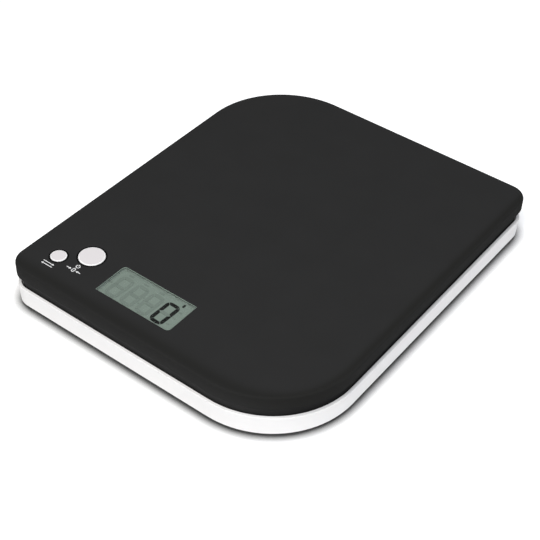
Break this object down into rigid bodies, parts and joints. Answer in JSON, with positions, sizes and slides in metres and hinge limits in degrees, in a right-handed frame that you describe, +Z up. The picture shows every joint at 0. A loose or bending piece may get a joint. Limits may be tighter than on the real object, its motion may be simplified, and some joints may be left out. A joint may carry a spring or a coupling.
{
  "type": "digital kitchen scale",
  "caption": "Flat kitchen scale with a black leaf-shaped platform over a white base, a small digit display and two round white buttons at its front left.",
  "frame": {"origin": "on the worktop, under the middle of the platform", "axes": "+X to the user's right, +Y from the display's edge to the back, +Z up"},
  "size_m": [0.18, 0.217, 0.0276],
  "materials": {
    "white_casing": "satin moulded",
    "black_casing": "fine matte moulded",
    "dark_frame": "matte moulded",
    "white_button": "smooth moulded",
    "foot_rubber": "matte",
    "steel_plate": "zinc plated",
    "steel_screw": "zinc plated",
    "cell_aluminium": "milled",
    "gauge_foil": "etched foil on film",
    "silicone_coating": "poured",
    "lead_sheath": "extruded",
    "cell_can": "nickel plated",
    "contact_metal": "plated",
    "lens_acrylic": "clear moulded",
    "foam_tape": "die cut",
    "display_glass": "polished",
    "display_ink": "dark liquid crystal",
    "display_faint": "faint liquid crystal",
    "reflector_film": "grey green film",
    "holder_plastic": "moulded",
    "contact_strip": "layered silicone",
    "board_laminate": "solder resist",
    "chip_resin": "cured drop",
    "chip_parts": "ceramic",
    "switch_body": "moulded",
    "plunger_plastic": "moulded"
  },
  "bodies": {
    "base": {"base_shell": "white_casing", "foot_front_left": "foot_rubber", "foot_front_right": "foot_rubber", "foot_back_left": "foot_rubber", "foot_back_right": "foot_rubber", "cell_base_plate": "steel_plate", "cell_base_screws": "steel_screw", "load_cell": "cell_aluminium", "strain_gauges": "gauge_foil", "gauge_coating": "silicone_coating", "cell_leads": "lead_sheath", "battery_leads": "lead_sheath", "coin_cell": "cell_can", "positive_contact": "contact_metal", "negative_contact": "contact_metal"},
    "platform": {"platform_cover": "black_casing", "platform_frame": "dark_frame", "frame_screws": "steel_screw", "cell_top_plate": "steel_plate", "cell_top_screws": "steel_screw", "display_lens": "lens_acrylic", "lens_tape": "foam_tape", "lcd_front_glass": "display_glass", "lcd_lit_segments": "display_ink", "lcd_faint_segments": "display_faint", "lcd_rear_glass": "display_glass", "lcd_reflector": "reflector_film", "lcd_holder": "holder_plastic", "contact_strips": "contact_strip", "main_board": "board_laminate", "board_screws": "steel_screw", "chip_resin": "chip_resin", "board_components": "chip_parts", "lead_socket": "holder_plastic", "zero_switch": "switch_body", "unit_switch": "switch_body"},
    "battery_cap": {"battery_cap": "white_casing"},
    "on_zero_button": {"on_zero_button": "white_button", "zero_plunger": "plunger_plastic"},
    "unit_button": {"unit_button": "white_button", "unit_plunger": "plunger_plastic"}
  },
  "joints": [
    {"name": "platform_sink", "type": "slide", "parent": "base", "child": "platform", "axis": [0, 0, -1], "range_m": [0, 0.0005], "stiffness_N_per_m": 100000, "deforming": ["load_cell", "strain_gauges", "gauge_coating", "cell_leads", "battery_leads"]},
    {"name": "on_zero_press", "type": "slide", "parent": "platform", "child": "on_zero_button", "axis": [0, 0, -1], "range_m": [0, 0.0005], "stiffness_N_per_m": 3200},
    {"name": "unit_press", "type": "slide", "parent": "platform", "child": "unit_button", "axis": [0, 0, -1], "range_m": [0, 0.0005], "stiffness_N_per_m": 3200},
    {"name": "battery_cap_turn", "type": "hinge", "parent": "base", "child": "battery_cap", "pos_m": [-0.045, -0.036, 0.002], "axis": [0, 0, 1], "range_deg": [0, 40]}
  ]
}
